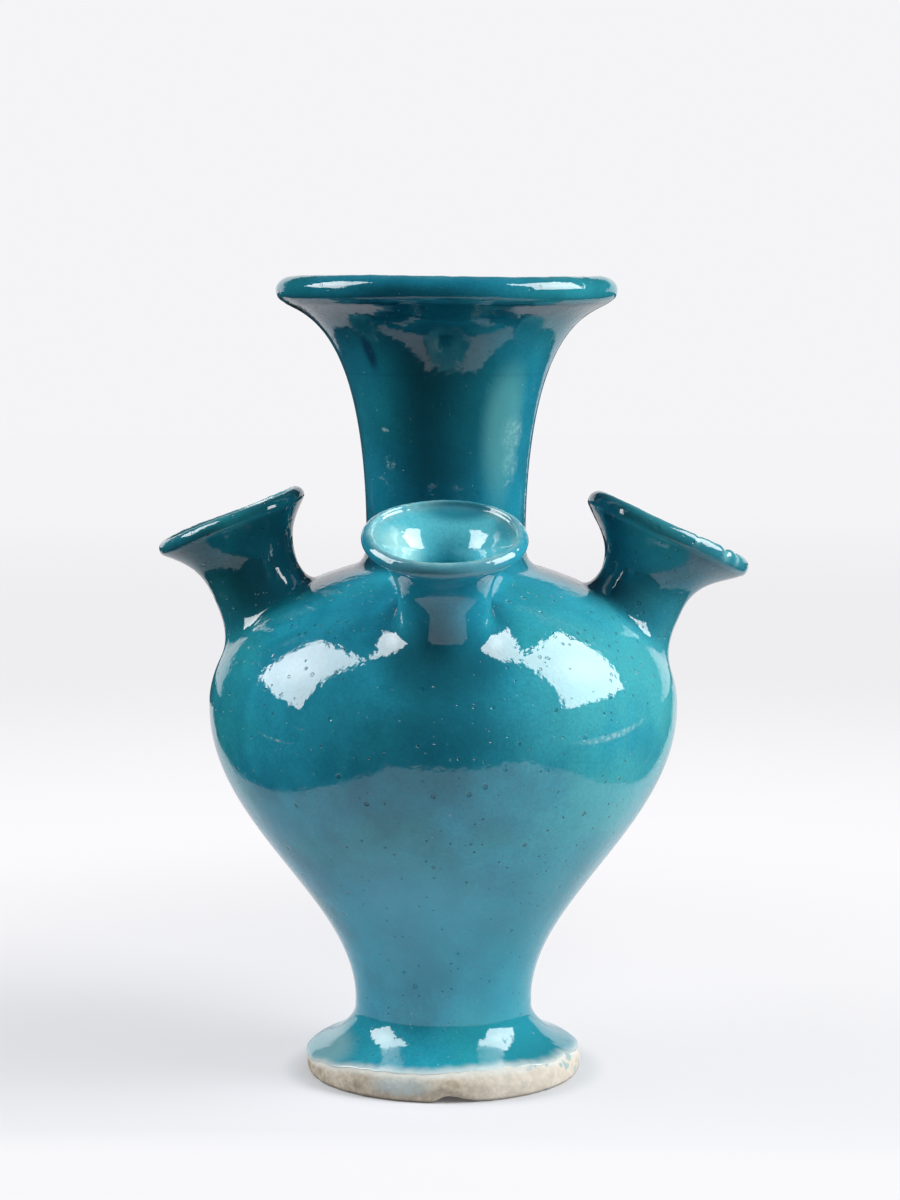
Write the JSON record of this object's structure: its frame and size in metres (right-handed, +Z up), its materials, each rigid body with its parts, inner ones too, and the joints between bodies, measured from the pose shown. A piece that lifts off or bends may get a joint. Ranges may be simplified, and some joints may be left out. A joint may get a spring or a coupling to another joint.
{
  "type": "multi-necked vase",
  "caption": "Turquoise-glazed pottery vase with a flared central neck, trumpet spouts round its domed shoulder, a tapering body and a spreading unglazed foot, for holding cut stems.",
  "frame": {"origin": "centre of the flat underside of the foot, on the body's axis", "axes": "+Z up along the body's axis; -Y towards the viewer of the picture, where the front spout leans; +X to the picture's right"},
  "size_m": [0.1832, 0.1776, 0.2507],
  "materials": {
    "turquoise_glaze": "glossy glaze over pale fritware",
    "foot_glaze": "glossy glaze ending above a bare, stained clay edge",
    "luting_slip": "fired slip under the same glossy glaze"
  },
  "bodies": {
    "root": {"foot": "foot_glaze", "foot_seam": "luting_slip", "lower_body": "turquoise_glaze", "body_seam": "luting_slip", "shoulder": "turquoise_glaze", "neck": "turquoise_glaze", "neck_seam": "luting_slip", "spout_front": "turquoise_glaze", "spout_front_seam": "luting_slip", "spout_right": "turquoise_glaze", "spout_right_seam": "luting_slip", "spout_back": "turquoise_glaze", "spout_back_seam": "luting_slip", "spout_left": "turquoise_glaze", "spout_left_seam": "luting_slip"}
  },
  "joints": []
}
